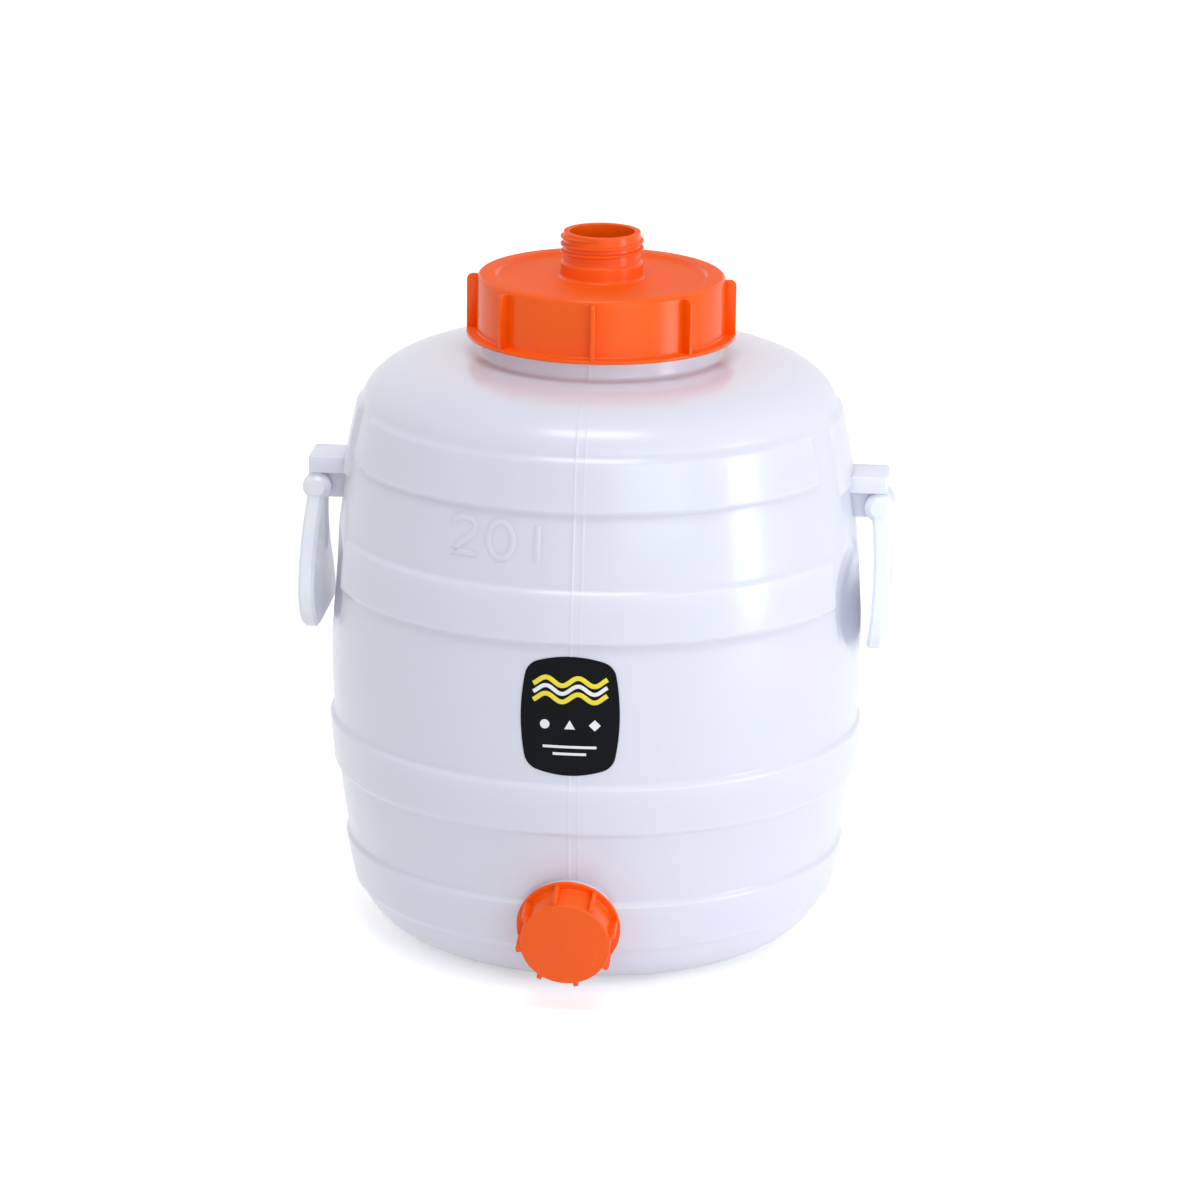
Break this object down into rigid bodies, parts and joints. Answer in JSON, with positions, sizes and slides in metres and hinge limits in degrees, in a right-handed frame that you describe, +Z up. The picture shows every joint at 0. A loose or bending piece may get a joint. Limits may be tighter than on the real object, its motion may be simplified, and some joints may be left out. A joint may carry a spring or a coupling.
{
  "type": "blow-moulded drum with a capped outlet",
  "caption": "Barrel-shaped plastic liquid drum with a screw lid carrying an open threaded spout, a capped outlet low on its front and a swinging handle on each side.",
  "frame": {"origin": "centre of the base, on the surface that the drum stands on", "axes": "+Z up along the drum's axis; the outlet looks along -Y; the handles hang at +X and -X"},
  "size_m": [0.33, 0.3148, 0.4003],
  "materials": {
    "natural_polyethylene": "milky translucent blow-moulded polyethylene, soft gloss",
    "black_label": "printed film label",
    "orange_plastic": "orange injection-moulded polyethylene, soft gloss",
    "seal_foam": "white soft seal",
    "white_plastic": "white injection-moulded polyethylene"
  },
  "bodies": {
    "barrel": {"barrel": "natural_polyethylene", "label": "black_label"},
    "lid_seal": {"lid_seal": "seal_foam"},
    "lid": {"lid": "orange_plastic"},
    "outlet_seal": {"outlet_seal": "seal_foam"},
    "outlet_cap": {"outlet_cap": "orange_plastic"},
    "handle_left": {"handle_left": "white_plastic"},
    "handle_right": {"handle_right": "white_plastic"}
  },
  "joints": [
    {"name": "lid_lift", "type": "slide", "parent": "barrel", "child": "lid_seal", "axis": [0, 0, 1], "range_m": [0, 0.0121]},
    {"name": "lid_turn", "type": "hinge", "parent": "lid_seal", "child": "lid", "pos_m": [0, 0, 0.37], "axis": [0, 0, 1], "range_deg": [0, 720]},
    {"name": "outlet_lift", "type": "slide", "parent": "barrel", "child": "outlet_seal", "axis": [0, -0.9793, -0.2025], "range_m": [0, 0.0127]},
    {"name": "outlet_turn", "type": "hinge", "parent": "outlet_seal", "child": "outlet_cap", "pos_m": [0, -0.14097, 0.0445], "axis": [0, -0.9793, -0.2025], "range_deg": [0, 1080]},
    {"name": "handle_left_swing", "type": "hinge", "parent": "barrel", "child": "handle_left", "pos_m": [-0.157, 0, 0.2515], "axis": [0, 1, 0], "range_deg": [-2, 108]},
    {"name": "handle_right_swing", "type": "hinge", "parent": "barrel", "child": "handle_right", "pos_m": [0.157, 0, 0.2515], "axis": [0, -1, 0], "range_deg": [-2, 108]}
  ],
  "couplings": [
    {"joint": "lid_lift", "follows": "lid_turn", "m_per_rad": 0.00095493},
    {"joint": "outlet_lift", "follows": "outlet_turn", "m_per_rad": 0.00066845}
  ]
}
